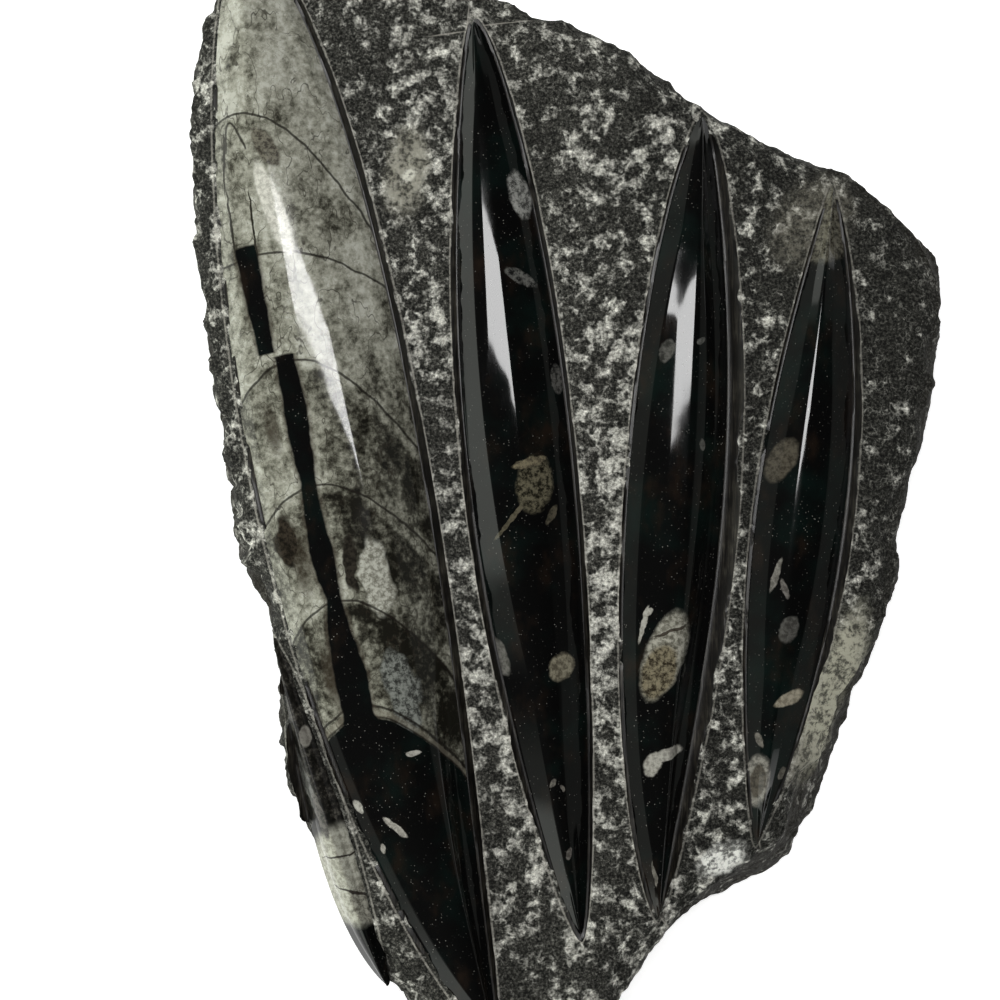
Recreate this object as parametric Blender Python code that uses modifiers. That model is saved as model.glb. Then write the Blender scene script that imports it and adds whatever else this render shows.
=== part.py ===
"""A slab of black limestone with five orthoceras fossils carved in relief on it.

The slab lies on its flat sawn base, with the origin in the middle under it. X runs across the
fossils and Y along them, towards their pointed upper tips. Every size below is in millimetres
and becomes metres when a mesh is made.
"""
import math

import bmesh
import bpy
from mathutils import Vector, noise

MM = 0.001
NAME = "orthoceras_slab"

# The slab, seen from above: its outer line, walked clockwise from the upper left corner.
SLAB_OUTLINE = (
    (-72, 113), (-77.5, 101), (-79.4, 89), (-79.2, 72), (-77.5, 47), (-74.8, 25), (-72, 6),
    (-70, -8), (-64.4, -18.4), (-62, -28), (-61, -42), (-59.8, -54), (-55.3, -65.5), (-49.5, -77),
    (-43.5, -88), (-37.5, -97), (-29, -110), (-21, -119), (-14, -124), (-7, -123.5),
    (-1, -116.5), (6, -108), (17.2, -94), (26.4, -84.8), (38.3, -78.2), (47.4, -73.2),
    (53.2, -63.6), (56.8, -54.2), (63.9, -34.8), (68, -24.7), (70.7, -10), (70.1, -3),
    (73.5, 6.6), (77.7, 25), (79.7, 45), (79.1, 54.4), (73.6, 60.7), (60.9, 72.3), (47.4, 77.5),
    (30.1, 86.2), (18.1, 95.2), (7.2, 102.5), (-4.6, 106.3), (-13.8, 109.4), (-36, 119.3),
    (-48, 122.3), (-60, 124), (-68, 121),
)
GROUND_MIDDLE = 34.5      # height of the hammered top at the origin
GROUND_FALL = 0.055       # how much lower it gets for each millimetre to the right
RIM_DROP = 4.5            # how far the top rolls down at the rim
RIM_WIDTH = 11.0          # over this width
BLANK_HEIGHT = 36.0       # height of the plain blank before its top is shaped
BLANK_WASTE = 9.0         # what the saw takes off under it
BLANK_VOXEL = 5.3

# The sides slope outwards on the way down, mostly at the left and at the lower right.
SIDE_LEAN = 2.0
LEAN_RADIUS = 85.0
LEANS = (                 # direction in degrees, half width in degrees, inset of the upper rim
    (185, 60, 3.5),
    (312, 42, 8.0),
    (235, 30, 3.0),
)

# Hammer marks on the top and bites along the sides.
LUMP_SPAN = 10.5
LUMP_HEIGHT = 1.1
BITE_SPAN = 12.0
BITE_DEPTH = 4.2

# The fossils. Each one is a spindle between two tips; its two borders bulge to the left and to
# the right of the line from the lower tip to the upper one, as
# bulge * (4 t (1 - t)) ** power * (1 + skew * s + full * s * s), with t from 0 to 1 along that
# line and s from -1 to 1. Its crest stands above the top of the slab, or above its own level on
# the slab's side, where the roll turns it outwards about its length. A groove runs round it, with
# a width and a depth at the left and at the right. Its two steep flanks have a width each, and
# climb the share of the crest called rise.
FOSSILS = {
    "flank": dict(upper=(-60.0, -24.0), lower=(-36.8, -95.0), crest=3.2, roll=-25, level=33.5,
                  left=(6.4, 0.75, -0.55, 0.0), right=(3.4, 0.75, 0.20, 0.0),
                  grooves=((0.5, 0.8), (0.3, 0.8)), flanks=(3.4, 2.0), rise=0.6),
    "giant": dict(upper=(-67.6, 116.3), lower=(-14.8, -105.4), crest=5.5, roll=0, level=None,
                  left=(22.3, 0.75, -0.09, 0.0), right=(14.0, 0.40, 0.52, -0.16),
                  grooves=((0.6, 0.5), (1.4, 2.1)), flanks=(3.0, 2.8), rise=0.4),
    "second": dict(upper=(-19.1, 101.5), lower=(2.7, -84.3), crest=3.0, roll=0, level=None,
                   left=(13.2, 0.60, -0.02, -0.29), right=(10.4, 0.60, 0.19, -0.10),
                   grooves=((1.0, 1.0), (0.7, 2.1)), flanks=(5.0, 3.6), rise=0.75),
    "third": dict(upper=(27.6, 82.8), lower=(18.6, -81.1), crest=3.5, roll=0, level=None,
                  left=(12.0, 0.75, -0.03, 0.10), right=(11.9, 0.60, 0.20, -0.30),
                  grooves=((0.3, 0.5), (3.0, 2.1)), flanks=(3.7, 3.2), rise=0.5),
    "fourth": dict(upper=(54.6, 69.0), lower=(39.0, -66.2), crest=3.4, roll=0, level=None,
                   left=(9.0, 0.55, -0.08, -0.45), right=(12.0, 1.05, 0.04, 0.15),
                   grooves=((0.3, 0.5), (1.4, 1.6)), flanks=(4.2, 5.0), rise=0.62),
}
FLANK_LIMIT = 0.6         # a flank takes at most this share of the half width
CREST_POWER = 0.62        # how bluntly the crest runs out at the tips
KEEL = 7.0                # how far a fossil reaches down into the slab
SEAT = 0.4                # how far a fossil's borders stand below the floor of its groove
TIP_OVERRUN = 0.008       # the grooves run past the tips by this share of the length
CUTTER_TOP = 22.0
SECTION_SIDES = 16
SPINDLE_RINGS = 26

STONE_COLOUR = (0.035, 0.034, 0.032, 1.0)
STONE_ROUGHNESS = 0.6


def clear_scene():
    for thing in list(bpy.data.objects):
        bpy.data.objects.remove(thing, do_unlink=True)


def collection(name):
    group = bpy.data.collections.new(name)
    bpy.context.scene.collection.children.link(group)
    return group


def rim_distance(x, y):
    """Distance in millimetres from a point to the slab's outer line."""
    nearest = 1e9
    for start, end in zip(SLAB_OUTLINE, SLAB_OUTLINE[1:] + SLAB_OUTLINE[:1]):
        run_x, run_y = end[0] - start[0], end[1] - start[1]
        share = ((x - start[0]) * run_x + (y - start[1]) * run_y) / (run_x ** 2 + run_y ** 2)
        share = min(1.0, max(0.0, share))
        gap = math.hypot(start[0] + share * run_x - x, start[1] + share * run_y - y)
        nearest = min(nearest, gap)
    return nearest


def ground(x, y):
    """Height of the top at a place, without its hammer marks."""
    edge = min(1.0, rim_distance(x, y) / RIM_WIDTH)
    return GROUND_MIDDLE - GROUND_FALL * x - RIM_DROP * (1.0 - edge) ** 2


def side_lean(x, y):
    """How far the upper rim stands in from the base line, in the direction of a point."""
    direction = math.degrees(math.atan2(y, x)) % 360
    lean = SIDE_LEAN
    for middle, half_width, inset in LEANS:
        share = max(0.0, 1.0 - ((direction - middle) / half_width) ** 2)
        lean = max(lean, inset * share)
    return lean


def blank():
    """The slab's outer form: an outline drawn as a curve, filled and meshed evenly."""
    data = bpy.data.curves.new("outline", "CURVE")
    data.dimensions = "2D"
    data.fill_mode = "BOTH"
    data.extrude = (BLANK_HEIGHT + BLANK_WASTE) / 2
    line = data.splines.new("BEZIER")
    line.bezier_points.add(len(SLAB_OUTLINE) - 1)
    line.use_cyclic_u = True
    line.resolution_u = 3
    for point, (x, y) in zip(line.bezier_points, SLAB_OUTLINE):
        point.co = (x, y, 0)
        point.handle_left_type = point.handle_right_type = "AUTO"
    curve = bpy.data.objects.new("outline", data)
    curve.location.z = (BLANK_HEIGHT - BLANK_WASTE) / 2
    bpy.context.scene.collection.objects.link(curve)
    bpy.context.view_layer.update()
    mesh = bpy.data.meshes.new_from_object(
        curve.evaluated_get(bpy.context.evaluated_depsgraph_get()))
    mesh.transform(curve.matrix_world)
    bpy.data.objects.remove(curve)
    shape = bmesh.new()
    shape.from_mesh(mesh)
    bmesh.ops.remove_doubles(shape, verts=shape.verts, dist=0.001)
    shape.to_mesh(mesh)
    shape.free()
    slab = bpy.data.objects.new(NAME, mesh)
    bpy.context.scene.collection.objects.link(slab)
    remesh = slab.modifiers.new("even faces", "REMESH")
    remesh.mode = "VOXEL"
    remesh.voxel_size = BLANK_VOXEL
    return slab


def apply_modifiers(thing):
    """Keep what the modifiers make as the object's own mesh."""
    bpy.context.view_layer.update()
    made = thing.evaluated_get(bpy.context.evaluated_depsgraph_get())
    mesh = bpy.data.meshes.new_from_object(made)
    thing.modifiers.clear()
    thing.data = mesh


def weather(slab):
    """Slope the sides, lay the top and give both their lumps."""
    for vertex in slab.data.vertices:
        x, y, z = vertex.co
        height = z / BLANK_HEIGHT
        side = max(0.0, 1.0 - rim_distance(x, y) / BLANK_VOXEL)
        inset = 1.0 - side_lean(x, y) * height / LEAN_RADIUS
        top = height * ground(x, y)
        place = Vector((x, y, 0.7 * z))
        bites = -BITE_DEPTH * side * abs(noise.noise(place / BITE_SPAN))
        outward = Vector((x, y, 0)).normalized()
        lumps = LUMP_HEIGHT * height ** 4 * noise.noise(place / LUMP_SPAN)
        vertex.co = (x * inset + outward.x * bites, y * inset + outward.y * bites, top + lumps)


def saw_base(slab, level):
    """Cut the slab flat at a level and close the cut."""
    shape = bmesh.new()
    shape.from_mesh(slab.data)
    everything = shape.verts[:] + shape.edges[:] + shape.faces[:]
    cut = bmesh.ops.bisect_plane(shape, geom=everything, dist=0.0001, plane_co=(0, 0, level),
                                 plane_no=(0, 0, -1), clear_outer=True)
    rim = [part for part in cut["geom_cut"] if isinstance(part, bmesh.types.BMEdge)]
    bmesh.ops.contextual_create(shape, geom=rim)
    bmesh.ops.recalc_face_normals(shape, faces=shape.faces)
    shape.to_mesh(slab.data)
    shape.free()


def half_width(border, share, trim):
    """Distance from a fossil's middle line to one border, less a trim in millimetres."""
    bulge, power, skew, full = border
    step = 2 * share - 1
    fullness = (4 * share * (1 - share)) ** power
    whole = bulge * fullness * (1 + skew * step + full * step * step)
    return max(0.0, whole - trim * fullness)


def section(turn, fossil, share):
    """Across and up on a fossil's section: x from -1 to 1, height from 0 to 1 of the crest."""
    quarter = SECTION_SIDES // 4
    step = round(abs(turn) / (math.pi / 2) * quarter)
    right = step <= quarter
    foot = half_width(fossil["right" if right else "left"], share, fossil["grooves"][right][0])
    line = 1 - min(FLANK_LIMIT, fossil["flanks"][right] / max(foot, 0.1))
    reach = (1.0, (1 + line) / 2, line, line / 2, 0.0)[min(step, 2 * quarter - step)]
    if reach > line:
        up = fossil["rise"] * (1 - reach) / (1 - line)
    else:
        up = 1 - (1 - fossil["rise"]) * (reach / line) ** 2
    return (reach if right else -reach), up


def spindle(name, fossil, cutter=False):
    """A fossil, or the cutter that makes the groove round it, from a sphere with poles at its
    tips."""
    bpy.ops.mesh.primitive_uv_sphere_add(segments=SECTION_SIDES, ring_count=SPINDLE_RINGS)
    thing = bpy.context.object
    thing.name = thing.data.name = name
    lower, upper = Vector(fossil["lower"]), Vector(fossil["upper"])
    middle = (lower + upper) / 2
    reach = 1 + 2 * TIP_OVERRUN if cutter else 1.0
    along = (upper - lower) * reach
    lower = middle - along / 2
    to_right = Vector((along.y, -along.x)).normalized()
    roll = math.radians(fossil["roll"])
    for vertex in thing.data.vertices:
        share = min(1.0, max(0.0, (vertex.co.z + 1) / 2))
        turn = math.atan2(vertex.co.y, vertex.co.x)
        fullness = 4 * share * (1 - share)
        across, height = section(turn, fossil, share)
        side = "right" if across > 0 else "left"
        trim, depth = fossil["grooves"][side == "right"]
        sideways = across * half_width(fossil[side], share, 0.0 if cutter else trim)
        floor = -(depth if cutter else depth + SEAT) * fullness ** 0.2
        if cutter:
            up = (CUTTER_TOP if turn >= 0 else floor) * min(1.0, (1 - abs(across)) * 6)
        elif turn >= 0:
            crest = fossil["crest"] * fullness ** CREST_POWER
            up = floor + (crest - floor) * height
        else:
            up = floor + KEEL * fullness ** 0.5 * math.sin(turn)
        turned = Vector((sideways * math.cos(roll) + up * math.sin(roll),
                         up * math.cos(roll) - sideways * math.sin(roll)))
        place = lower + along * share + to_right * turned.x
        seat = ground(place.x, place.y) if fossil["level"] is None else fossil["level"]
        vertex.co = (place.x, place.y, seat + turned.y)
    shape = bmesh.new()
    shape.from_mesh(thing.data)
    bmesh.ops.recalc_face_normals(shape, faces=shape.faces)
    shape.to_mesh(thing.data)
    shape.free()
    return thing


def combine(slab, tool, operation):
    change = slab.modifiers.new(tool.name, "BOOLEAN")
    change.object = tool
    change.operation = operation
    change.solver = "EXACT"
    tool.hide_render = True
    tool.display_type = "WIRE"


def stone():
    material = bpy.data.materials.new("black limestone")
    material.use_nodes = True
    shader = material.node_tree.nodes["Principled BSDF"]
    shader.inputs["Base Color"].default_value = STONE_COLOUR
    shader.inputs["Roughness"].default_value = STONE_ROUGHNESS
    shader.inputs["Metallic"].default_value = 0.0
    return material


def settle(slab):
    """Turn the slab into metres, with the origin in the middle of its base."""
    corners = [Vector(corner) for corner in slab.bound_box]
    low = Vector(min(corner[axis] for corner in corners) for axis in range(3))
    high = Vector(max(corner[axis] for corner in corners) for axis in range(3))
    for vertex in slab.data.vertices:
        vertex.co = (vertex.co - Vector(((low.x + high.x) / 2, (low.y + high.y) / 2, low.z))) * MM


def build():
    clear_scene()
    parts = collection("orthoceras fossil")
    tools = collection("cutters")
    slab = blank()
    apply_modifiers(slab)
    weather(slab)
    saw_base(slab, 0.0)
    for name, fossil in FOSSILS.items():
        combine(slab, spindle(name + " groove", fossil, cutter=True), "DIFFERENCE")
        combine(slab, spindle(name, fossil), "UNION")
    apply_modifiers(slab)
    settle(slab)
    slab.data.materials.clear()
    slab.data.materials.append(stone())
    for thing in list(bpy.context.scene.objects):
        for group in list(thing.users_collection):
            group.objects.unlink(thing)
        (parts if thing is slab else tools).objects.link(thing)


build()
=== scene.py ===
"""The looks of a slab of black limestone with orthoceras fossils carved in relief on it.

Sizes are in millimetres on the slab's own drawing, and become metres when a mesh is made.
"""

import math

import bpy
import numpy as np
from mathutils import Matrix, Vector, noise


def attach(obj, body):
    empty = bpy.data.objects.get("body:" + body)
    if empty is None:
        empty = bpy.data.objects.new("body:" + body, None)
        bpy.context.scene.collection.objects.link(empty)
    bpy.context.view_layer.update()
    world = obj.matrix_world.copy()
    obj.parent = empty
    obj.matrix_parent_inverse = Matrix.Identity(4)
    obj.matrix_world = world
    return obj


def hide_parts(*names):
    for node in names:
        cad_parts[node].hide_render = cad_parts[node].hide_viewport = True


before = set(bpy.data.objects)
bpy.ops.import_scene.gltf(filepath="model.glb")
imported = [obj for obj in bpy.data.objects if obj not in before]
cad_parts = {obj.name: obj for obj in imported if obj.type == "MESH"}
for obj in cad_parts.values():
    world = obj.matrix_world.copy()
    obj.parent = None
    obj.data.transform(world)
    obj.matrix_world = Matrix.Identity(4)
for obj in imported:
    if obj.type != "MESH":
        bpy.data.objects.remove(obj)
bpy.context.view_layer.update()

MM = 0.001
NODE = "orthoceras_slab"
DRAWING_CENTRE = (0.082, 0.137)   # where the middle of the slab's box is on its drawing

# The slab, seen from above: its outer line, walked clockwise from the upper left corner.
SLAB_OUTLINE = (
    (-72, 113), (-77.5, 101), (-79.4, 89), (-79.2, 72), (-77.5, 47), (-74.8, 25), (-72, 6),
    (-70, -8), (-64.4, -18.4), (-62, -28), (-61, -42), (-59.8, -54), (-55.3, -65.5), (-49.5, -77),
    (-43.5, -88), (-37.5, -97), (-29, -110), (-21, -119), (-14, -124), (-7, -123.5),
    (-1, -116.5), (6, -108), (17.2, -94), (26.4, -84.8), (38.3, -78.2), (47.4, -73.2),
    (53.2, -63.6), (56.8, -54.2), (63.9, -34.8), (68, -24.7), (70.7, -10), (70.1, -3),
    (73.5, 6.6), (77.7, 25), (79.7, 45), (79.1, 54.4), (73.6, 60.7), (60.9, 72.3), (47.4, 77.5),
    (30.1, 86.2), (18.1, 95.2), (7.2, 102.5), (-4.6, 106.3), (-13.8, 109.4), (-36, 119.3),
    (-48, 122.3), (-60, 124), (-68, 121),
)
OUTLINE_STEP = 2.0
GROUND_MIDDLE = 34.5
GROUND_FALL = 0.055
RIM_DROP = 4.5
RIM_WIDTH = 11.0
BLANK_HEIGHT = 36.0
BLANK_WASTE = 4.0
BLANK_VOXEL = 0.8
SIDE_LEAN = 2.0
LEAN_RADIUS = 85.0
LEANS = ((185, 60, 3.5), (312, 42, 8.0), (235, 30, 3.0))
LUMP_SPAN = 10.5
LUMP_HEIGHT = 1.1
BITE_SPAN = 12.0
BITE_DEPTH = 4.2
DENT_SPAN = 3.4
DENT_DEPTH = 0.42
GRAIN_SPAN = 1.6
GRAIN_HEIGHT = 0.28
SCALLOP_SPAN = 6.5
SCALLOP_DEPTH = 1.5
SMOOTH_EDGE = 0.5         # share of the bites and scallops that the upper right edge lacks

FOSSILS = {
    "flank": dict(upper=(-60.0, -24.0), lower=(-36.8, -95.0), crest=3.2, roll=-25, level=33.5,
                  left=(6.4, 0.75, -0.55, 0.0), right=(3.4, 0.75, 0.20, 0.0),
                  grooves=((0.5, 0.8), (0.3, 0.8)), flanks=((2.2, 0, 0.75), (2.0, 0, 1.2)),
                  bend=1.0, peak=0.0),
    "giant": dict(upper=(-67.6, 116.3), lower=(-14.8, -105.4), crest=5.5, roll=0, level=None,
                  left=(22.3, 0.75, -0.09, 0.0), right=(14.0, 0.40, 0.52, -0.16),
                  grooves=((0.6, 0.5), (1.4, 2.1)), flanks=((3.0, 0, 0.57), (2.8, 0, 0.9)),
                  bend=0.6, peak=-0.10),
    "second": dict(upper=(-19.1, 101.5), lower=(2.7, -84.3), crest=3.0, roll=0, level=None,
                   left=(13.2, 0.60, -0.02, -0.29), right=(10.4, 0.60, 0.19, -0.10),
                   grooves=((1.0, 1.0), (0.7, 2.1)), flanks=((5.0, 0.5, 0.8), (3.6, 0, 0.8)),
                   bend=0.6, peak=-0.20),
    "third": dict(upper=(27.6, 82.8), lower=(18.6, -81.1), crest=3.5, roll=0, level=None,
                  left=(12.0, 0.75, -0.03, 0.10), right=(11.9, 0.60, 0.20, -0.30),
                  grooves=((0.3, 0.5), (3.0, 2.1)), flanks=((3.7, -0.2, 0.64), (3.2, 0, 0.75)),
                  bend=0.5, peak=0.05),
    "fourth": dict(upper=(54.6, 69.0), lower=(39.0, -66.2), crest=3.4, roll=0, level=None,
                   left=(9.0, 0.55, -0.08, -0.45), right=(12.0, 1.05, 0.04, 0.15),
                   grooves=((0.3, 0.5), (1.4, 1.6)), flanks=((4.2, 0, 0.66), (5.0, 0, 0.72)),
                   bend=0.2, peak=0.0),
}
FLANK_LIMIT = 0.6         # a flank takes at most this share of the half width
FLANK_TOP = 0.85          # and of the height
CREST_POWER = 0.62
KEEL = 6.0
SEAT = 0.4
TIP_OVERRUN = 0.008
CUTTER_TOP = 22.0
CUTTER_WALL = 0.2         # share of the cutter's section that makes the groove's upright wall
SECTION_SIDES = 56
SPINDLE_RINGS = 110
LINE_EASE = 0.03          # half the width over which a flank turns into the back

# Small shells cut by the surfaces, and one patch of painted shade on the flank fossil: centre,
# half length, half width and angle, then the pale and the deep colour of each.
SHELLS_AND_PAINTED_SHADE = {
    "flank": (
        ((-44.6, -72.2, 10.3, 7.5, 105), (0.44, 0.44, 0.37), (0.22, 0.215, 0.175)),
        # painted shade: a darker patch over the lower end of the pale shell above
        ((-40.6, -78.0, 4.2, 3.6, 125), (0.34, 0.335, 0.28), (0.10, 0.095, 0.075)),
        ((-46.0, -68.2, 4.4, 0.22, 8), (0.05, 0.045, 0.04), (0.03, 0.025, 0.02)),
        ((-43.5, -75.6, 4.6, 0.22, -14), (0.05, 0.045, 0.04), (0.03, 0.025, 0.02)),
        ((-53.4, -43.9, 2.2, 1.1, 95), (0.24, 0.23, 0.2), (0.15, 0.14, 0.12)),
        ((-53.5, -53.0, 9.0, 0.9, 112), (0.15, 0.15, 0.14), (0.05, 0.05, 0.045)),
        ((-50.3, -60.0, 5.0, 0.8, 108), (0.13, 0.12, 0.11), (0.04, 0.04, 0.035)),
    ),
    "second": (
        ((-9.8, 66.3, 4.9, 2.1, 104), (0.30, 0.30, 0.28), (0.045, 0.045, 0.042)),
        ((-9.6, 49.4, 3.6, 1.2, -28), (0.12, 0.12, 0.11), (0.008, 0.008, 0.008)),
        ((-2.2, 28.9, 3.0, 1.2, 98), (0.10, 0.098, 0.09), (0.015, 0.015, 0.014)),
        ((-6.8, 7.4, 5.6, 3.6, 84), (0.12, 0.108, 0.072), (0.010, 0.009, 0.006)),
        ((-7.9, 11.8, 3.4, 0.9, 16), (0.18, 0.155, 0.10), (0.05, 0.042, 0.03)),
        ((-11.6, 0.2, 5.2, 0.45, 52), (0.10, 0.088, 0.06), (0.05, 0.045, 0.03)),
        ((-3.3, 1.2, 2.2, 0.7, 62), (0.08, 0.07, 0.05), (0.03, 0.028, 0.02)),
        ((-1.3, -29.7, 3.0, 2.4, 60), (0.24, 0.22, 0.16), (0.08, 0.07, 0.05)),
        ((-14.0, -27.3, 4.4, 1.5, 112), (0.16, 0.155, 0.14), (0.06, 0.058, 0.05)),
        ((-2.9, -53.4, 1.1, 0.5, 60), (0.15, 0.14, 0.12), (0.06, 0.055, 0.05)),
        ((-1.1, -54.4, 0.9, 0.4, 120), (0.15, 0.14, 0.12), (0.06, 0.055, 0.05)),
        ((0.2, -67.7, 1.2, 0.5, 80), (0.12, 0.11, 0.10), (0.05, 0.045, 0.04)),
    ),
    "third": (
        ((20.2, 34.6, 2.4, 1.4, 70), (0.09, 0.088, 0.08), (0.025, 0.025, 0.022)),
        ((19.6, -27.4, 9.2, 3.8, 70), (0.34, 0.33, 0.28), (0.10, 0.095, 0.075)),
        ((18.5, -30.6, 5.8, 3.3, 70), (0.19, 0.165, 0.11), (0.022, 0.017, 0.011)),
        ((20.9, -22.5, 3.6, 0.35, 20), (0.06, 0.05, 0.04), (0.03, 0.026, 0.02)),
        ((15.4, -21.2, 3.8, 0.5, 76), (0.38, 0.37, 0.33), (0.24, 0.23, 0.2)),
        ((16.4, -18.6, 1.1, 0.6, 30), (0.38, 0.37, 0.33), (0.24, 0.23, 0.2)),
        ((17.2, -49.6, 2.4, 1.7, 70), (0.36, 0.35, 0.31), (0.18, 0.17, 0.15)),
        ((20.4, -47.4, 3.2, 1.2, 22), (0.36, 0.35, 0.31), (0.20, 0.19, 0.17)),
        ((27.1, 36.6, 1.0, 0.6, 40), (0.12, 0.12, 0.11), (0.05, 0.05, 0.045)),
        ((27.4, 15.4, 1.2, 0.6, 100), (0.10, 0.10, 0.09), (0.04, 0.04, 0.035)),
        ((17.7, -72.0, 2.6, 0.35, 100), (0.16, 0.15, 0.13), (0.08, 0.075, 0.065)),
    ),
    "fourth": (
        ((51.5, 61.0, 8.0, 8.0, 40), (0.13, 0.122, 0.095), (0.018, 0.016, 0.012)),
        ((43.6, 12.3, 4.8, 2.6, 60), (0.075, 0.066, 0.05), (0.03, 0.026, 0.02)),
        ((42.4, -11.2, 3.4, 0.7, 72), (0.20, 0.19, 0.17), (0.09, 0.085, 0.075)),
        ((44.2, -13.8, 2.2, 0.6, 105), (0.14, 0.13, 0.12), (0.06, 0.055, 0.05)),
        ((45.0, -22.2, 2.8, 1.9, 65), (0.09, 0.088, 0.08), (0.04, 0.038, 0.034)),
        ((45.2, -36.3, 3.2, 1.3, 22), (0.34, 0.31, 0.24), (0.17, 0.15, 0.11)),
        ((38.6, -53.1, 5.2, 2.7, 82), (0.24, 0.23, 0.20), (0.09, 0.085, 0.075)),
        ((38.9, -53.1, 3.6, 1.5, 82), (0.08, 0.07, 0.055), (0.03, 0.026, 0.02)),
        ((44.1, -51.6, 1.4, 0.8, 60), (0.14, 0.13, 0.11), (0.06, 0.055, 0.045)),
        ((39.1, -44.7, 1.6, 0.7, 110), (0.16, 0.15, 0.13), (0.07, 0.065, 0.055)),
    ),
}
WORN = {"flank": (-54.0, -42.0, 28.0, 9.0, 108)}     # where a fossil was left half rough
GIANT_SHELLS_AND_HIGHLIGHT = (          # the same for the giant, with fine lines and a pale patch near its top that is partly calcite and partly a painted highlight
    # painted highlight: the first patch, pale calcite with a highlight painted on it
    ((-59.2, 62.5, 10.2, 2.1, 111), (0.66, 0.65, 0.58), (0.40, 0.39, 0.34)),
    ((-61.0, 75.3, 4.6, 2.0, 122), (0.17, 0.16, 0.125), (0.045, 0.040, 0.032)),
    ((-63.6, 60.0, 6.8, 0.24, 97), (0.030, 0.027, 0.02), (0.02, 0.018, 0.014)),
    ((-68.2, 60.0, 7.0, 0.24, 99), (0.030, 0.027, 0.02), (0.02, 0.018, 0.014)),
    ((-69.6, 72.2, 6.6, 0.24, 91), (0.030, 0.027, 0.02), (0.02, 0.018, 0.014)),
    ((-10.9, -42.5, 2.9, 1.9, 100), (0.55, 0.54, 0.50), (0.30, 0.29, 0.27)),
    ((-31.2, -46.8, 1.4, 0.6, 10), (0.40, 0.39, 0.35), (0.2, 0.19, 0.17)),
    ((-42.5, -58.0, 1.6, 0.7, 120), (0.40, 0.39, 0.35), (0.2, 0.19, 0.17)),
    ((-35.0, -62.0, 3.0, 0.7, 142), (0.40, 0.38, 0.34), (0.2, 0.19, 0.17)),
    ((-37.5, -66.5, 1.1, 0.5, 100), (0.3, 0.29, 0.26), (0.16, 0.15, 0.13)),
)
GIANT_CRYSTALS = (        # and of larger, less even patches
    ((-38.4, -11.0, 7.5, 2.9, 104), (0.46, 0.46, 0.40), (0.16, 0.155, 0.125)),
    ((-33.4, -34.3, 8.5, 3.3, 104), (0.20, 0.21, 0.19), (0.03, 0.031, 0.028)),
    ((-57.0, -4.5, 5.6, 2.0, 103), (0.035, 0.028, 0.02), (0.008, 0.007, 0.005)),
    ((-44.0, -9.0, 6.0, 1.6, 100), (0.03, 0.026, 0.02), (0.010, 0.009, 0.007)),
)
SEPTA = (                 # on the giant, up from its lower tip: peak, its place across, arch
    (194.5, -8.0, 0.060, 99), (193.0, -9.3, 1.3, 6), (165.8, -10.5, 0.020, 99),
    (143.5, -9.0, 0.050, 99), (117.8, -9.8, 0.044, 99), (94.2, -10.5, 0.056, 99),
    (72.6, -11.3, 0.053, 99), (70.4, -11.3, 0.053, 99),
)                         # and how far it runs below its peak
SIPHUNCLE = tuple(        # from 60 mm to 170 mm up: its middle to the left, and half its width
    ((place - 60) / 110, (middle / 16, half / 8, 0)) for place, middle, half in (
        (66.0, 11.0, 4.9), (70.5, 11.4, 3.1), (78.7, 11.2, 3.3), (86.8, 11.3, 2.45),
        (90.8, 11.2, 1.9), (95.1, 10.8, 1.35), (99.2, 11.1, 2.1), (103.4, 11.0, 2.4),
        (107.5, 11.0, 2.1), (115.6, 10.7, 1.65), (119.2, 10.4, 1.45), (122.8, 10.2, 1.8),
        (128.8, 9.8, 2.2), (136.2, 9.4, 2.1), (144.9, 9.1, 1.9), (145.8, 12.5, 1.5),
        (159.7, 12.2, 2.0), (168.0, 11.95, 2.15)))
GIANT_BROWN = ((104.0, -15.6, 8.5, 2.2), (79.5, -15.4, 7.0, 1.9), (131.0, -15.0, 6.0, 2.0))
MATRIX_PATCHES = (        # shells and crystals in the rough stone: place, strength, colour
    ((-32.9, 70.8, 8.5, 4.2, 82), 0.85, (0.30, 0.29, 0.235)),
    ((-32.5, 70.0, 2.2, 1.2, 40), 0.8, (0.72, 0.71, 0.62)),
    ((50.0, 61.0, 10.0, 7.0, 50), 0.4, (0.24, 0.225, 0.18)),
    ((54.5, -35.5, 17.0, 4.8, 72), 1.0, (0.44, 0.43, 0.34)),
    ((31.8, -69.3, 5.0, 2.9, 25), 1.0, (0.98, 0.98, 0.92)),
    ((48.0, -49.0, 6.0, 3.0, 60), 0.4, (0.30, 0.285, 0.24)),
)
STONE_GRAIN = (           # from the dark grains of the stone to the light ones
    (0.36, (0.005, 0.005, 0.0045)), (0.46, (0.019, 0.019, 0.0165)),
    (0.56, (0.050, 0.049, 0.043)), (0.70, (0.20, 0.197, 0.173)),
)
BRUISE_GRAIN = (          # and the same where the hammer has bruised it
    (0.34, (0.09, 0.089, 0.078)), (0.44, (0.26, 0.256, 0.226)), (0.53, (0.62, 0.61, 0.55)),
    (0.62, (1.0, 0.98, 0.90)),
)
SHADED_STRIP = (-53.0, -46.0, 28.0, 7.5, 111)
BRUISE_AND_PAINTED_LIGHT = (         # where the stone is made paler or darker through its bruising: the darker places, upper right and the shaded strip, are painted shade, and the paler middle is partly painted light
    ((62.0, 40.0, 42.0, 15.0, 84), -0.06), (SHADED_STRIP, -0.10),
    ((3.0, -12.0, 66.0, 30.0, 92), 0.055), ((-31.0, 79.0, 24.0, 8.0, 80), 0.05),
    ((10.5, -8.0, 30.0, 6.0, 95), 0.045),
)
SCRATCHES = (
    (-24.3, 99.0, 3.8, 0.16, 8), (-14.5, 101.2, 3.2, 0.16, 8), (-9.5, 101.9, 2.0, 0.14, 8),
    (-20.3, 102.8, 3.4, 0.14, 84), (20.5, -83.1, 2.6, 0.2, -53), (39.3, -65.6, 1.9, 0.2, -73),
)

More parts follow.
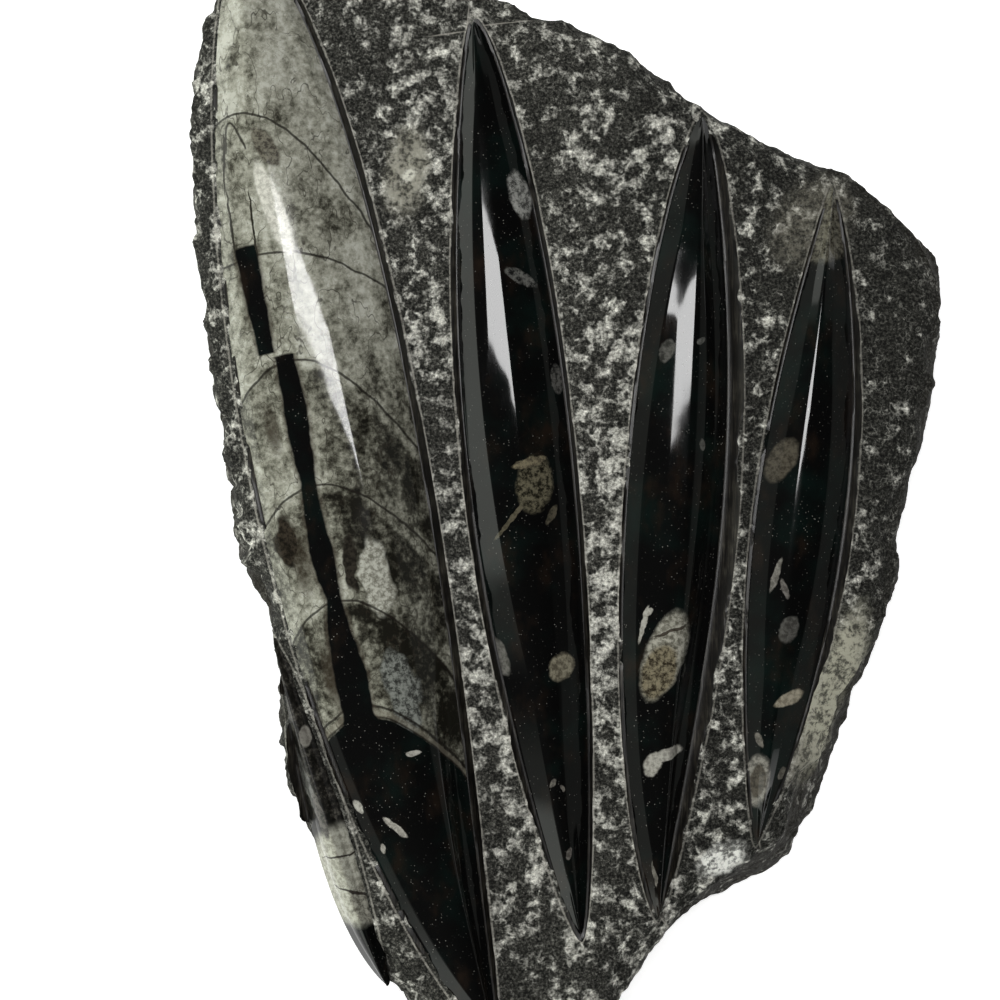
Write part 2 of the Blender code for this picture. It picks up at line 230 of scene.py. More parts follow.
SIDE_BELOW = (29, 23)     # heights between which the top turns into the sides
STONE_SHINE, POLISH_SHINE = 0.1, 0.22
CHAMBER_TONES = tuple(    # paler above each septum and darker under it, from 60 mm to 200 mm
    ((place - 60) / 140, (tone,) * 3) for place, tone in (
        (69.0, 0.50), (73.0, 0.85), (79.0, 0.35), (89.0, 0.45), (92.5, 0.20), (94.0, 0.75),
        (98.0, 0.80), (106.0, 0.38), (115.5, 0.22), (117.6, 0.80), (123.0, 0.72),
        (132.0, 0.48), (142.0, 0.45), (143.6, 0.75), (150.0, 0.62), (164.0, 0.52),
        (167.0, 0.66), (193.0, 0.42), (195.5, 0.66)))

SOFTBOX_PLACE, SOFTBOX_AIM = (-14, 137, 950), (-14, 30, 36)
SOFTBOX_SIZE, SOFTBOX_POWER = (600, 106), 6.2
FLOOR_GLOW = 0.62
CAMERA_PLACE = (-13.8, 4.2, 640.0)
CAMERA_LENS = 107.03      # for the camera's 36 mm frame


def on_drawing(points):
    """Metres in the slab's frame to millimetres on the drawing."""
    return points / MM + np.array((*DRAWING_CENTRE, 0.0))


def in_frame(points):
    """Millimetres on the drawing to metres in the slab's frame."""
    return (points - np.array((*DRAWING_CENTRE, 0.0))) * MM


def vertex_places(thing):
    places = np.empty(len(thing.data.vertices) * 3)
    thing.data.vertices.foreach_get("co", places)
    return places.reshape(-1, 3)


def move_vertices(thing, places):
    thing.data.vertices.foreach_set("co", places.ravel())
    thing.data.update()


def only(thing):
    """Select one object alone and make it the active one."""
    bpy.ops.object.select_all(action="DESELECT")
    thing.select_set(True)
    bpy.context.view_layer.objects.active = thing


def apply_modifiers(thing):
    only(thing)
    for modifier in list(thing.modifiers):
        bpy.ops.object.modifier_apply(modifier=modifier.name)


def smooth_line(points, step):
    """A closed curve through the points, as evenly spaced points."""
    corners = np.array(points, float)
    before, after = np.roll(corners, 1, 0), np.roll(corners, -1, 0)
    beyond = np.roll(corners, -2, 0)
    shares = np.linspace(0, 1, 12, endpoint=False)[:, None, None]
    curve = 0.5 * (2 * corners + (after - before) * shares
                   + (2 * before - 5 * corners + 4 * after - beyond) * shares ** 2
                   + (3 * corners - before - 3 * after + beyond) * shares ** 3)
    curve = curve.transpose(1, 0, 2).reshape(-1, 2)
    closed = np.vstack((curve, curve[:1]))
    lengths = np.concatenate(((0,), np.cumsum(np.hypot(*np.diff(closed, axis=0).T))))
    marks = np.arange(0, lengths[-1], lengths[-1] / round(lengths[-1] / step))
    return np.stack((np.interp(marks, lengths, closed[:, 0]),
                     np.interp(marks, lengths, closed[:, 1])), axis=1)


def rim_distance(x, y):
    """Distance in millimetres from points to the slab's outer line."""
    nearest = np.full(x.shape, 1e9)
    for start, end in zip(SLAB_OUTLINE, SLAB_OUTLINE[1:] + SLAB_OUTLINE[:1]):
        run_x, run_y = end[0] - start[0], end[1] - start[1]
        share = ((x - start[0]) * run_x + (y - start[1]) * run_y) / (run_x ** 2 + run_y ** 2)
        share = np.clip(share, 0, 1)
        gap = np.hypot(start[0] + share * run_x - x, start[1] + share * run_y - y)
        nearest = np.minimum(nearest, gap)
    return nearest


def ground(x, y):
    """Height of the top at a place, without its hammer marks."""
    edge = np.clip(rim_distance(x, y) / RIM_WIDTH, 0, 1)
    return GROUND_MIDDLE - GROUND_FALL * x - RIM_DROP * (1 - edge) ** 2


def side_lean(x, y):
    direction = np.degrees(np.arctan2(y, x)) % 360
    lean = np.full(x.shape, SIDE_LEAN)
    for middle, half_width, inset in LEANS:
        share = np.clip(1 - ((direction - middle) / half_width) ** 2, 0, None)
        lean = np.maximum(lean, inset * share)
    return lean


def noise_at(places, span):
    """Smooth noise from about -1 to 1 at places in millimetres."""
    return np.array([noise.noise(Vector(place)) for place in places / span])


def dents_at(places, span):
    """1 in the middle of each hammer mark, falling to 0 halfway to the next one."""
    nearest = np.array([noise.voronoi(Vector(place))[0][0] for place in places / span])
    return np.clip(1 - nearest / 0.55, 0, 1)


def blank():
    """The slab's outer form: a cylinder with the outline's shape, meshed finely."""
    line = smooth_line(SLAB_OUTLINE, OUTLINE_STEP)
    bpy.ops.mesh.primitive_cylinder_add(vertices=len(line), radius=1, depth=2)
    slab = bpy.context.object
    places = vertex_places(slab)
    for level, height in ((-1, -BLANK_WASTE), (1, BLANK_HEIGHT)):
        ring = np.sign(places[:, 2]) == level
        places[ring] = np.column_stack((line[::-1], np.full(len(line), height)))
    move_vertices(slab, in_frame(places))
    remesh = slab.modifiers.new("even faces", "REMESH")
    remesh.mode = "VOXEL"
    remesh.voxel_size = BLANK_VOXEL * MM
    apply_modifiers(slab)
    return slab


def weather(slab):
    """Slope the sides, lay the top and hammer both."""
    places = on_drawing(vertex_places(slab))
    x, y, z = places.T
    height = z / BLANK_HEIGHT
    gap = rim_distance(x, y)
    side = np.clip(1 - gap / 5.3, 0, 1)
    inset = 1 - side_lean(x, y) * height / LEAN_RADIUS
    relief = np.column_stack((x, y, 0.7 * z))
    scallops = SCALLOP_DEPTH * np.clip(1 - 3 * np.abs(noise_at(relief, SCALLOP_SPAN)), 0, 1)
    scallops *= np.clip((10 - x) / 50, 0.2, 1)
    bites = -side * (BITE_DEPTH * np.abs(noise_at(relief, BITE_SPAN)) + scallops)
    bites *= 1 - SMOOTH_EDGE * np.clip((y - 45) / 20, 0, 1) * np.clip((x + 30) / 20, 0, 1)
    lumps = LUMP_HEIGHT * np.clip(height, 0, 1) ** 4 * noise_at(relief, LUMP_SPAN)
    outward = np.stack((x, y)) / np.hypot(x, y)
    places = np.column_stack((x * inset + outward[0] * bites, y * inset + outward[1] * bites,
                              height * ground(x, y) + lumps))
    move_vertices(slab, in_frame(places))


def hammer(slab):
    """Dents and grain all over the rough stone, along its normals."""
    normals = np.empty(len(slab.data.vertices) * 3)
    slab.data.vertices.foreach_get("normal", normals)
    places = on_drawing(vertex_places(slab))
    depth = GRAIN_HEIGHT * noise_at(places, GRAIN_SPAN)
    depth -= DENT_DEPTH * dents_at(places, DENT_SPAN)
    places += normals.reshape(-1, 3) * depth[:, None]
    move_vertices(slab, in_frame(places))


def saw_base(slab):
    only(slab)
    bpy.ops.object.mode_set(mode="EDIT")
    bpy.ops.mesh.select_all(action="SELECT")
    bpy.ops.mesh.bisect(plane_co=(0, 0, 0), plane_no=(0, 0, -1), use_fill=True,
                        clear_outer=True, threshold=1e-7)
    bpy.ops.object.mode_set(mode="OBJECT")


def half_width(border, share, trim):
    bulge, power, skew, full = border
    step = 2 * share - 1
    fullness = (4 * share * (1 - share)) ** power
    return max(0.0, bulge * fullness * (1 + skew * step + full * step * step) - trim * fullness)


def flank_line(fossil, side, share):
    """Where a flank meets the back, as a share of the half width."""
    foot = half_width(fossil[("left", "right")[side]], share, fossil["grooves"][side][0])
    width, spread, _ = fossil["flanks"][side]
    return 1 - min(FLANK_LIMIT, width * (1 - spread * (2 * share - 1)) / max(foot, 0.1))


def across_marks(line, steps):
    """Places across half a section, from the border at 1 to the middle at 0, with three of
    them close together where the flank meets the back."""
    flank = np.linspace(1, line + LINE_EASE, steps // 2 - 1)
    back = np.linspace(line - LINE_EASE, 0, steps - steps // 2 + 1)
    return np.concatenate((flank, (line,), back))


def section_height(across, fossil, line, rise):
    """Height of the section as a share of the crest, at a place across its half. The back falls
    faster and faster as far as its bend, and evenly from there to the flank."""
    peak, bend = fossil["peak"], fossil["bend"]
    reach = abs(across)
    if reach > line:
        return rise * (1 - reach) / (1 - line)
    edge = math.copysign(line, across - peak)
    along = abs((across - peak) / (edge - peak))
    fall = along * along / (2 * bend) if along < bend else along - bend / 2
    return 1 - (1 - rise) * fall / (1 - bend / 2)


def spindle(name, fossil, cutter=False):
    """A fossil, or the cutter for the groove round it, from a sphere with poles at its tips."""
    bpy.ops.mesh.primitive_uv_sphere_add(segments=SECTION_SIDES, ring_count=SPINDLE_RINGS)
    thing = bpy.context.object
    thing.name = thing.data.name = name
    lower, upper = Vector(fossil["lower"]), Vector(fossil["upper"])
    reach = 1 + 2 * TIP_OVERRUN if cutter else 1.0
    along = (upper - lower) * reach
    lower = (lower + upper) / 2 - along / 2
    to_right = Vector((along.y, -along.x)).normalized()
    roll = math.radians(fossil["roll"])
    quarter = SECTION_SIDES // 4
    places = vertex_places(thing)
    for index, (px, py, pz) in enumerate(places):
        share = min(1.0, max(0.0, (pz + 1) / 2))
        turn = math.atan2(py, px)
        step = round(abs(turn) / (math.pi / 2) * quarter)
        side = 1 if step <= quarter else 0
        line = flank_line(fossil, side, share)
        across = across_marks(line, quarter)[min(step, 2 * quarter - step)] * (2 * side - 1)
        fullness = max(0.0, 4 * share * (1 - share))
        border = half_width(fossil[("left", "right")[side]], share, 0)
        foot = half_width(fossil[("left", "right")[side]], share, fossil["grooves"][side][0])
        depth = fossil["grooves"][side][1] + (0 if cutter else SEAT)
        floor = -depth * fullness ** 0.2
        crest = fossil["crest"] * fullness ** CREST_POWER
        wall = min(1.0, (1 - abs(across)) / CUTTER_WALL)
        if cutter:
            spread = min(1.0, abs(across) / (1 - CUTTER_WALL))
            reach_out = border * spread if turn >= 0 else foot * spread + (border - foot) * (
                1 - wall)
            sideways = math.copysign(reach_out, across)
            up = wall * (CUTTER_TOP if turn >= 0 else floor)
        else:
            sideways = across * foot
            climb = fossil["flanks"][side][2] * (1 - line) * foot
            rise = min(FLANK_TOP, climb / max(crest - floor, 0.1))
            up = floor + (crest - floor) * section_height(across, fossil, line, rise)
            if turn < 0:
                up = floor + KEEL * fullness ** 0.5 * math.sin(turn)
        flat_way = sideways * math.cos(roll) + up * math.sin(roll)
        rising = up * math.cos(roll) - sideways * math.sin(roll)
        spot = lower + along * share + to_right * flat_way
        places[index] = (spot.x, spot.y, rising)
    if fossil["level"] is None:
        places[:, 2] += ground(places[:, 0], places[:, 1])
    else:
        places[:, 2] += fossil["level"]
    move_vertices(thing, in_frame(places))
    only(thing)
    bpy.ops.object.mode_set(mode="EDIT")
    bpy.ops.mesh.select_all(action="SELECT")
    bpy.ops.mesh.normals_make_consistent(inside=False)
    bpy.ops.object.mode_set(mode="OBJECT")
    return thing


def combine(slab, tool, operation):
    """Cut the tool out of the slab, or join it on, and keep the materials of both."""
    change = slab.modifiers.new(tool.name, "BOOLEAN")
    change.object = tool
    change.operation = operation
    change.solver = "EXACT"
    change.material_mode = "TRANSFER"
    apply_modifiers(slab)
    bpy.data.objects.remove(tool, do_unlink=True)


class Value:
    """One value in a material, so that sums on it can be written as ordinary arithmetic."""

    def __init__(self, finish, socket):
        self.finish, self.socket = finish, socket

    def math(self, operation, *others):
        return self.finish.node("ShaderNodeMath", {"operation": operation},
                                dict(enumerate((self, *others))))

    def __add__(self, other):
        return self.math("ADD", other)

    def __mul__(self, other):
        return self.math("MULTIPLY", other)

    def __sub__(self, other):
        return self.math("SUBTRACT", other)

    def __rsub__(self, other):
        return self * -1 + other

    def __truediv__(self, other):
        return self.math("DIVIDE", other)

    def __pow__(self, other):
        return self.math("POWER", other)

    def __abs__(self):
        return self.math("ABSOLUTE")

    __radd__, __rmul__ = __add__, __mul__

    def at_least(self, other):
        return self.math("MAXIMUM", other)

    def fade(self, start, end):
        """0 at start and 1 at end, eased at both."""
        return self.finish.node("ShaderNodeMapRange", {"interpolation_type": "SMOOTHSTEP"},
                                {"Value": self, "From Min": start, "From Max": end})


class Finish:
    """A material being made. Its patterns are placed in millimetres on the slab's drawing."""

    def __init__(self, name, roughness):
        self.material = bpy.data.materials.new(name)
        self.material.use_nodes = True
        self.nodes = self.material.node_tree.nodes
        self.links = self.material.node_tree.links
        self.shader = self.nodes["Principled BSDF"]
        self.shader.inputs["Roughness"].default_value = roughness
        place = self.node("ShaderNodeTexCoord", output=3)
        self.place = self.node("ShaderNodeMapping", inputs={
            "Vector": place, "Location": (*DRAWING_CENTRE, 0), "Scale": (1 / MM,) * 3})

    def node(self, kind, settings=None, inputs=None, output=0):
        made = self.nodes.new(kind)
        for name, value in (settings or {}).items():
            if name == "stops":
                ramp = made.color_ramp.elements
                while len(ramp) < len(value):
                    ramp.new(0.5)
                for stop, (position, colour) in zip(ramp, value):
                    stop.position, stop.color = position, (*colour, 1)
            else:
                setattr(made, name, value)
        for name, value in (inputs or {}).items():
            self.feed(made.inputs[name], value)
        return Value(self, made.outputs[output])

    def feed(self, socket, value):
        if isinstance(value, Value):
            self.links.new(value.socket, socket)
        elif socket.type == "RGBA":
            socket.default_value = (*value, 1)
        else:
            socket.default_value = value

    def blend(self, share, first, second):
        return self.node("ShaderNodeMix", {"data_type": "RGBA"},
                         {"Factor": share, 6: first, 7: second}, 2)

    def ramp(self, value, *stops):
        return self.node("ShaderNodeValToRGB", {"stops": stops}, {"Fac": value})

    def moved(self, amount, span):
        """The place, pushed about by smooth noise of an amount in millimetres."""
        push = self.node("ShaderNodeTexNoise", inputs={
            "Vector": self.scaled(1 / span), "Scale": 1.0, "Detail": 2.0}, output="Color")
        centred = self.node("ShaderNodeVectorMath", {"operation": "SUBTRACT"},
                            {0: push, 1: (0.5, 0.5, 0.5)})
        pushed = self.node("ShaderNodeVectorMath", {"operation": "SCALE"},
                           {0: centred, "Scale": 2 * amount})
        return self.node("ShaderNodeVectorMath", {"operation": "ADD"},
                         {0: self.place, 1: pushed})

    def scaled(self, *factors):
        factors = factors * 3 if len(factors) == 1 else factors
        return self.node("ShaderNodeVectorMath", {"operation": "MULTIPLY"},
                         {0: self.place, 1: factors})

    def cloud(self, span, detail=2.0, roughness=0.5, stretch=(1, 1, 1)):
        """Noise from 0 to 1 whose patches are about a span in millimetres wide."""
        vector = self.scaled(*(1 / (span * factor) for factor in stretch))
        return self.node("ShaderNodeTexNoise", inputs={
            "Vector": vector, "Scale": 1.0, "Detail": detail, "Roughness": roughness})

    def cells(self, span, feature="F1"):
        return self.node("ShaderNodeTexVoronoi", {"feature": feature},
                         {"Vector": self.scaled(1 / span), "Scale": 1.0}, "Distance")

    def local(self, origin, angle, scale=(1, 1), place=None):
        """Place on a frame of its own: turned by an angle in degrees and measured in scales."""
        return self.node("ShaderNodeMapping", {"vector_type": "TEXTURE"}, {
            "Vector": place or self.place, "Location": (*origin, 0),
            "Rotation": (0, 0, math.radians(angle)), "Scale": (*scale, 1e6)})

    def mark(self, spot, place=None, soft=0.12):
        """1 inside an oval patch and 0 outside it."""
        x, y, half_length, half_width, angle = spot
        inside = self.local((x, y), angle, (half_length, half_width), place)
        reach = self.node("ShaderNodeVectorMath", {"operation": "LENGTH"}, {0: inside}, "Value")
        return reach.fade(1 + soft, 1 - soft)

    def parts(self, vector):
        split = self.node("ShaderNodeSeparateXYZ", inputs={0: vector})
        outputs = split.socket.node.outputs
        return [Value(self, outputs[axis]) for axis in ("X", "Y", "Z")]

    def bump(self, height, depth, strength=1.0, under=None):
        """Relief from a height that runs from 0 to 1 over a depth in millimetres."""
        inputs = {"Height": height, "Distance": depth * MM, "Strength": strength}
        if under:
            inputs["Normal"] = under
        return self.node("ShaderNodeBump", inputs=inputs)

    def set(self, **sockets):
        for name, value in sockets.items():
            self.feed(self.shader.inputs[name.replace("_", " ")], value)
        return self.material


def border_gap(finish, fossil):
    """Millimetres from a fossil's border, outwards, on the top of the slab."""
    lower, upper = Vector(fossil["lower"]), Vector(fossil["upper"])
    along = upper - lower
    reach = along.length / 2 * (1 + 2 * TIP_OVERRUN)
    step, across, _ = finish.parts(finish.local(
        (lower + upper) / 2, math.degrees(math.atan2(along.y, along.x)), (reach, 1)))
    fullness = (1 - step * step).at_least(0.0001)
    left, right = (
        fullness ** power * (step * step * full + step * skew + 1) * bulge
        for bulge, power, skew, full in (fossil["left"], fossil["right"]))
    beyond = step.math("ABSOLUTE") - 1
    return (across - left).at_least(across * -1 - right).at_least(beyond * reach)


def hammered_limestone():
    """Dark stone bruised pale by the hammer, with pale shells, scratches and bright borders, and
    painted shade and light: darker towards the right and on the sides, paler in the middle.
    """
    finish = Finish("hammered limestone", 0.7)
    x, _, z = finish.parts(finish.place)
    side = z.fade(*SIDE_BELOW)
    grain = finish.cloud(0.55, 4, 0.75)
    fine = finish.cloud(0.9, 4, 0.8)
    spread = finish.cloud(17, 2, 0.5)
    clumps = finish.node("ShaderNodeTexNoise", inputs={
        "Vector": finish.moved(1.1, 2.2), "Scale": 1 / 3.6, "Detail": 3.0, "Roughness": 0.62})
    strokes = finish.node("ShaderNodeTexNoise", inputs={
        "Vector": finish.moved(1.6, 3.0), "Scale": 1 / 2.6, "Detail": 2.0, "Roughness": 0.5})
    strokes = abs(strokes - 0.5).fade(0.030, 0.0) * clumps.fade(0.44, 0.58)
    # the bruise level, with painted shade in it: less bruised, so darker, towards the right and
    # on the sides
    level = (clumps + (spread - 0.5) * 0.22 + (fine - 0.5) * 0.20 - side * 0.03
             - x.fade(20, 62) * 0.03 - 0.018)
    for spot, more in BRUISE_AND_PAINTED_LIGHT:
        level = finish.mark(spot, None, 0.7) * more + level
    bruise_and_painted_light = level.fade(0.485, 0.71)
    # painted shade: darker towards the right, where the light falls off, and in the shaded strip;
    # also darker along the far left
    painted_shade = finish.mark(SHADED_STRIP, None, 0.7) * 0.04
    painted_shade = x.fade(2, 24) * 0.042 + (x * -1).fade(58, 76) * 0.03 + painted_shade
    colour = finish.ramp(grain + (fine - 0.5) * 0.35 - painted_shade, *STONE_GRAIN)
    pale = finish.ramp(grain * 0.55 + fine * 0.45, *BRUISE_GRAIN)
    colour = finish.blend(bruise_and_painted_light, colour, pale)
    colour = finish.blend(strokes * 0.35, colour, (0.36, 0.355, 0.32))
    dots = finish.cells(0.7).fade(0.22, 0.06) * level.fade(0.36, 0.60)
    colour = finish.blend(dots * 0.75, colour, (0.42, 0.415, 0.37))
    blows = level - 0.5
    # painted shade: the slab's sides, below the top, darkened
    colour = finish.blend(side * 0.4, colour, (0.024, 0.020, 0.015))
    pushed = finish.moved(1.3, 3.0)
    blotch = (clumps * 0.45 + fine * 0.55).fade(0.41, 0.56) * z.fade(7, 24)
    for spot, strength, pale in MATRIX_PATCHES:
        patch = finish.mark(spot, pushed, 0.35) * (blotch * 0.85 + z.fade(14, 26) * 0.15)
        colour = finish.blend(patch * strength, colour, pale)
    for spot in SCRATCHES:
        scratch = finish.mark(spot, None, 0.5) * z.fade(23, 27)
        colour = finish.blend(scratch * 0.55, colour, (0.38, 0.36, 0.32))
    for fossil in FOSSILS.values():
        gap = border_gap(finish, fossil)
        edge = abs(gap - 0.08).fade(0.30, 0.10) * (fine.fade(0.38, 0.52) * 0.7 + 0.3)
        edge = edge * z.fade(22, 30) * (1 - painted_shade * 9)
        colour = finish.blend(edge * 0.48, colour, (0.46, 0.44, 0.39))
    relief = finish.bump(level, 0.7, 0.6)
    relief = finish.bump(grain, 0.3, 0.5, relief)
    return finish.set(Base_Color=colour, Roughness=0.85 - blows.fade(-0.1, 0.3) * 0.2,
                      Normal=relief, Specular_IOR_Level=STONE_SHINE)


def ground_groove():
    """The walls of the grooves, streaked along their length by the grinding wheel."""
    finish = Finish("ground groove", 0.4)
    streaks = finish.cloud(1.0, 4, 0.7, (0.35, 9, 0.5))
    blotches = finish.cloud(6, 3, 0.6)
    colour = finish.ramp(streaks * 0.7 + blotches * 0.45,
                         (0.40, (0.002, 0.002, 0.002)), (0.56, (0.007, 0.006, 0.005)),
                         (0.68, (0.030, 0.027, 0.021)), (0.82, (0.11, 0.10, 0.085)))
    return finish.set(Base_Color=colour, Roughness=0.2 + streaks * 0.3,
                      Normal=finish.bump(streaks, 0.08, 0.5), Specular_IOR_Level=0.3)


def specks(finish, colour):
    """Tiny pale grains scattered in the black stone, thicker in some places."""
    near = finish.cells(0.9)
    thick = finish.cloud(9, 3, 0.6).fade(0.45, 0.75)
    dots = near.fade(0.17, 0.06) * (thick * 0.75 + 0.08)
    dust = finish.cloud(0.45, 2, 0.8).fade(0.62, 0.82) * thick
    colour = finish.blend(dust * 0.35, colour, (0.09, 0.085, 0.075))
    return finish.blend(dots, colour, (0.30, 0.29, 0.26))


def black_stone(finish):
    """Colour of the polished black limestone: nearly black, clouded with green and brown."""
    green = finish.cloud(13, 3, 0.6).fade(0.42, 0.75)
    brown = finish.cloud(7, 3, 0.6, (1, 1.6, 1)).fade(0.5, 0.8)
    colour = finish.blend(green, (0.0028, 0.0028, 0.0028), (0.0035, 0.0075, 0.0065))
    colour = finish.blend(brown, colour, (0.013, 0.0085, 0.006))
    return specks(finish, colour)


def stamp(finish, colour, shells, pushed):
    """Lay oval patches over a colour: mostly the sections of small shells and crystals, with a
    painted highlight and a painted shade among them.
    """
    mottle = finish.cloud(1.1, 4, 0.75).fade(0.38, 0.62)
    for spot, pale, deep in shells:
        fill = finish.blend(mottle, deep, pale)
        inside = finish.mark(spot, pushed, 0.14)
        colour = finish.blend(inside, colour, fill)
    return colour


def polish(name, shells):
    finish = Finish(name + " polish", 0.08)
    pushed = finish.moved(0.55, 2.0)
    colour = black_stone(finish)
    worn = 0.0
    if name in WORN:      # left half rough, with the stone's grain
        worn = finish.mark(WORN[name], finish.moved(1.5, 5.0), 0.3)
        grain = finish.cloud(0.8, 4, 0.75) * 0.6 + finish.cloud(3.0, 3, 0.6) * 0.4
        colour = finish.blend(worn, colour, finish.ramp(
            grain, (0.42, (0.004, 0.004, 0.003)), (0.52, (0.016, 0.0145, 0.012)),
            (0.62, (0.09, 0.085, 0.07))))
    colour = stamp(finish, colour, shells, pushed)
    smear = finish.cloud(10, 3, 0.6, (1, 2.5, 1)).fade(0.4, 0.75)
    waves = finish.bump(finish.cloud(11, 1, 0.4), 0.05, 1.0)
    return finish.set(Base_Color=colour, Roughness=worn * 0.4 + smear * 0.06 + 0.035,
                      Normal=waves, Specular_IOR_Level=POLISH_SHINE)


def septum(place, across, peak, middle, arch, reach):
    """1 on a line that arches across the chambers from its peak, on the giant's own places."""
    offset = across - middle
    steepness = (offset * offset * (4 * arch * arch) + 1) ** 0.5
    line = abs(place + offset * offset * arch - peak) / steepness
    return line.fade(0.34, 0.12) * place.fade(peak - reach, peak - reach + 0.5)


def giant_polish():
    """The giant: pale calcite chambers above, cut by septa and the black siphuncle, and the
    black body chamber below."""
    finish = Finish("giant polish", 0.08)
    lower, upper = Vector(FOSSILS["giant"]["lower"]), Vector(FOSSILS["giant"]["upper"])
    along = upper - lower
    turned = finish.local(lower, math.degrees(math.atan2(along.y, along.x)), (1, 1),
                          finish.moved(0.5, 4.0))
    up, left, _ = finish.parts(turned)
    across = left * -1
    fine = finish.cloud(1.4, 4, 0.7)
    coarse = finish.cloud(5.5, 4, 0.65, (1, 1.5, 1))
    # paler towards the upper tip: partly the calcite's own tone, partly painted light
    paleness = (up - 60).fade(-20, 120)
    low_right = (across + 6).fade(-3, 5) * up.fade(150, 120)
    arched = up + (across + 10.5) * (across + 10.5) * 0.05
    chamber, _, _ = finish.parts(finish.ramp((arched - 60) / 140, *CHAMBER_TONES))
    tone = ((coarse - 0.5) * 0.85 + (fine - 0.5) * 0.75 + paleness * 0.11 - low_right * 0.14
            + (chamber - 0.5) * 0.34 + 0.5)
    calcite = finish.ramp(tone, (0.32, (0.010, 0.0095, 0.007)), (0.43, (0.048, 0.046, 0.035)),
                          (0.54, (0.155, 0.153, 0.122)), (0.66, (0.30, 0.298, 0.246)),
                          (0.82, (0.47, 0.47, 0.41)))
    for span, stretch, strength in ((8, (1, 1.8, 1), 0.75), (4.5, (1, 0.8, 1), 0.45)):
        wander = finish.cloud(span, 3, 0.6, stretch)
        veins = abs(wander - 0.5).fade(0.010, 0.002) * fine.fade(0.38, 0.52)
        calcite = finish.blend(veins * strength, calcite, (0.022, 0.018, 0.013))
    for peak, middle, reach_up, reach_across in GIANT_BROWN:
        spot = finish.node("ShaderNodeCombineXYZ", inputs={
            "X": (up - peak) / reach_up, "Y": (across - middle) / reach_across})
        brown = finish.node("ShaderNodeVectorMath", {"operation": "LENGTH"}, {0: spot}, "Value")
        brown = brown.fade(1.2, 0.4) * (coarse.fade(0.3, 0.6) * 0.6 + 0.4)
        calcite = finish.blend(brown * 0.8, calcite, (0.03, 0.022, 0.014))
    calcite = stamp(finish, calcite, GIANT_CRYSTALS, finish.moved(2.6, 5.0))
    for peak, middle, arch, reach in SEPTA:
        calcite = finish.blend(septum(up, across, peak, middle, arch, reach) * 0.85, calcite,
                               (0.012, 0.010, 0.008))
    middle, half, _ = finish.parts(finish.ramp((up - 60) / 110, *SIPHUNCLE))
    beside = abs(across + middle * 16) - half * 8
    between = abs(up - 145.4).fade(0.2, 0.7) * up.fade(168.3, 167.7)
    tube = beside.fade(0.35, -0.15) * between
    black = black_stone(finish)
    calcite = finish.blend(beside.fade(1.2, 0.2) * between * 0.55, calcite, (0.05, 0.04, 0.03))
    body = (up + (across + 11.3) * (across + 11.3) * 0.053 - 70).fade(0.3, -0.3)
    band = abs(up + (across + 11.3) * (across + 11.3) * 0.053 - 71.2).fade(0.9, 0.5)
    calcite = finish.blend(band * 0.35, calcite, (0.20, 0.18, 0.14))
    colour = finish.blend(tube.at_least(body), calcite, black)
    colour = stamp(finish, colour, GIANT_SHELLS_AND_HIGHLIGHT, finish.moved(0.4, 2.0))
    smear = finish.cloud(10, 3, 0.6, (1, 2.5, 1)).fade(0.4, 0.75)
    waves = finish.bump(finish.cloud(12, 1, 0.4), 0.06, 1.0)
    return finish.set(Base_Color=colour, Roughness=smear * 0.08 + 0.05, Normal=waves,
                      Specular_IOR_Level=POLISH_SHINE)


def sawn_base():
    """The flat base, grey and dull, with the arcs that the saw left."""
    finish = Finish("sawn base", 0.55)
    from_saw = finish.node("ShaderNodeVectorMath", {"operation": "DISTANCE"},
                           {0: finish.place, 1: (260, -40, 0)}, "Value")
    arcs = finish.node("ShaderNodeTexNoise", {"noise_dimensions": "1D"},
                       {"W": from_saw, "Scale": 0.9, "Detail": 3.0, "Roughness": 0.7})
    clouds = finish.cloud(14, 4, 0.6)
    colour = finish.ramp(arcs * 0.3 + clouds * 0.7, (0.3, (0.03, 0.029, 0.027)),
                         (0.5, (0.055, 0.053, 0.049)), (0.72, (0.11, 0.105, 0.095)))
    veins = finish.cells(38, "DISTANCE_TO_EDGE").fade(0.014, 0.004)
    colour = finish.blend(veins * clouds.fade(0.4, 0.6), colour, (0.33, 0.31, 0.27))
    colour = specks(finish, colour)
    return finish.set(Base_Color=colour, Roughness=0.62 - arcs * 0.2,
                      Normal=finish.bump(arcs, 0.08, 0.5))


def carve(slab):
    slab.data.materials.clear()
    slab.data.materials.append(hammered_limestone())
    walls = ground_groove()
    for name, fossil in FOSSILS.items():
        cutter = spindle(name + "_groove", fossil, cutter=True)
        cutter.data.materials.append(walls)
        combine(slab, cutter, "DIFFERENCE")
        body = spindle(name, fossil)
        body.data.materials.append(
            giant_polish() if name == "giant" else polish(name, SHELLS_AND_PAINTED_SHADE[name]))
        combine(slab, body, "UNION")


def finish_base(slab):
    """Give the sawn face under the slab its own finish."""
    slab.data.materials.append(sawn_base())
    under = len(slab.data.materials) - 1
    for face in slab.data.polygons:
        if face.normal.z < -0.99 and face.center.z < 0.05 * MM:
            face.material_index = under


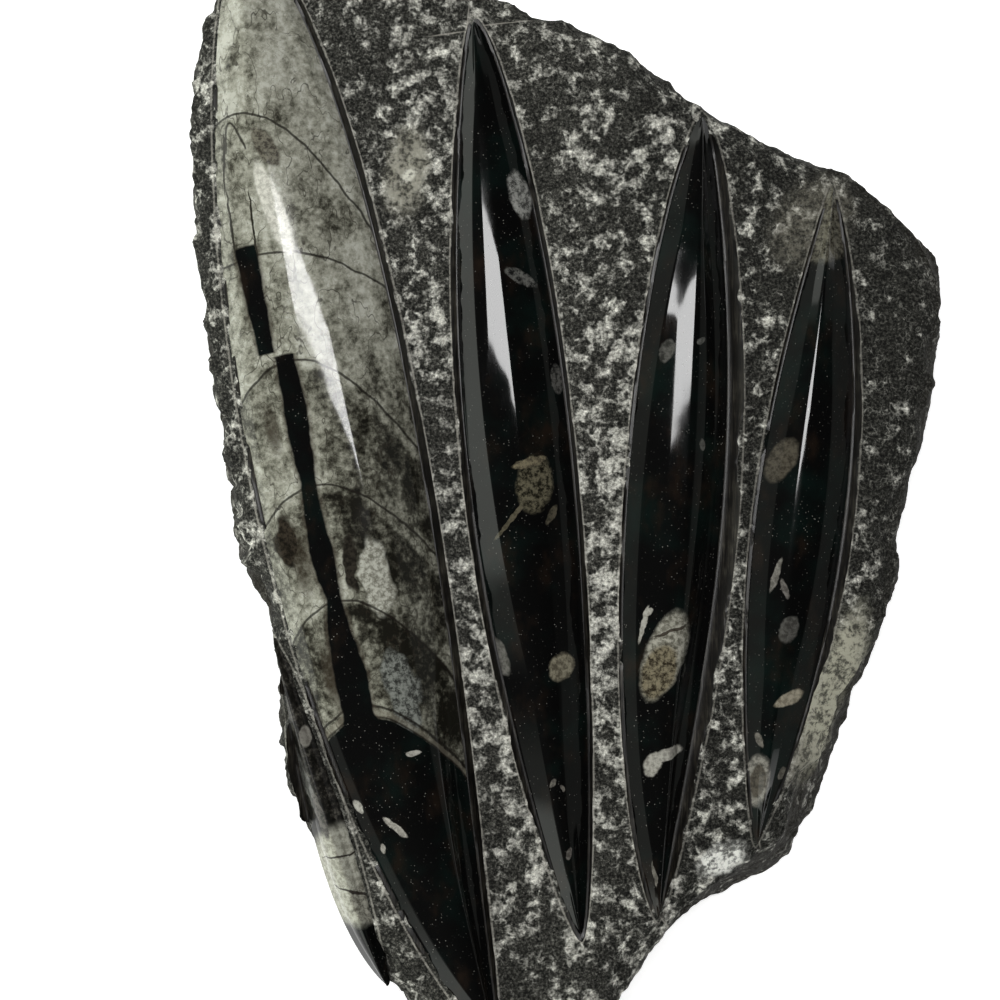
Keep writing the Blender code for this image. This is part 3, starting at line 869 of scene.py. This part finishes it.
def make_slab():
    slab = blank()
    weather(slab)
    hammer(slab)
    saw_base(slab)
    carve(slab)
    finish_base(slab)
    slab.name = slab.data.name = "fossil_slab"
    only(slab)
    bpy.ops.object.shade_smooth_by_angle(angle=math.radians(50))
    return slab


def lay_floor():
    bpy.ops.mesh.primitive_plane_add(size=6)
    floor = bpy.context.object
    floor.name = "floor"
    paper = Finish("pale floor", 0.9)
    floor.data.materials.append(paper.set(
        Base_Color=(0.92, 0.92, 0.92), Emission_Color=(1, 1, 1), Emission_Strength=FLOOR_GLOW))


def area_light(name, place, aim, size, power):
    data = bpy.data.lights.new(name, "AREA")
    data.shape = "RECTANGLE"
    data.size, data.size_y = size[0] * MM, size[1] * MM
    data.energy = power
    light = bpy.data.objects.new(name, data)
    light.location = in_frame(np.array(place))
    towards = Vector(in_frame(np.array(aim))) - light.location
    light.rotation_euler = towards.to_track_quat("-Z", "Y").to_euler()
    bpy.context.scene.collection.objects.link(light)


def light_scene():
    """A softbox high up, in a dim room that is bright low down and at the left."""
    world = bpy.data.worlds.new("dim room")
    bpy.context.scene.world = world
    world.use_nodes = True
    room = Finish.__new__(Finish)
    room.nodes, room.links = world.node_tree.nodes, world.node_tree.links
    where = room.node("ShaderNodeTexCoord")
    x, _, z = room.parts(where)
    glow = room.ramp(z, (0.43, (0.86, 0.90, 0.83)), (0.465, (0.21, 0.22, 0.20)),
                     (0.52, (0.19, 0.20, 0.18)), (0.58, (0.02, 0.02, 0.02)))
    room.feed(room.nodes["Background"].inputs["Color"], glow)
    room.feed(room.nodes["Background"].inputs["Strength"], 0.30 + (x * -1).fade(-0.1, 0.9) * 2.9)
    area_light("softbox", SOFTBOX_PLACE, SOFTBOX_AIM, SOFTBOX_SIZE, SOFTBOX_POWER)


def place_camera():
    data = bpy.data.cameras.new("camera")
    data.lens = CAMERA_LENS
    data.sensor_width = 36
    camera = bpy.data.objects.new("camera", data)
    camera.location = in_frame(np.array(CAMERA_PLACE))
    bpy.context.scene.collection.objects.link(camera)
    bpy.context.scene.camera = camera


place_camera()
slab = make_slab()
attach(slab, "root")
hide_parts(NODE)
lay_floor()
light_scene()
bpy.context.scene.view_settings.view_transform = "Standard"
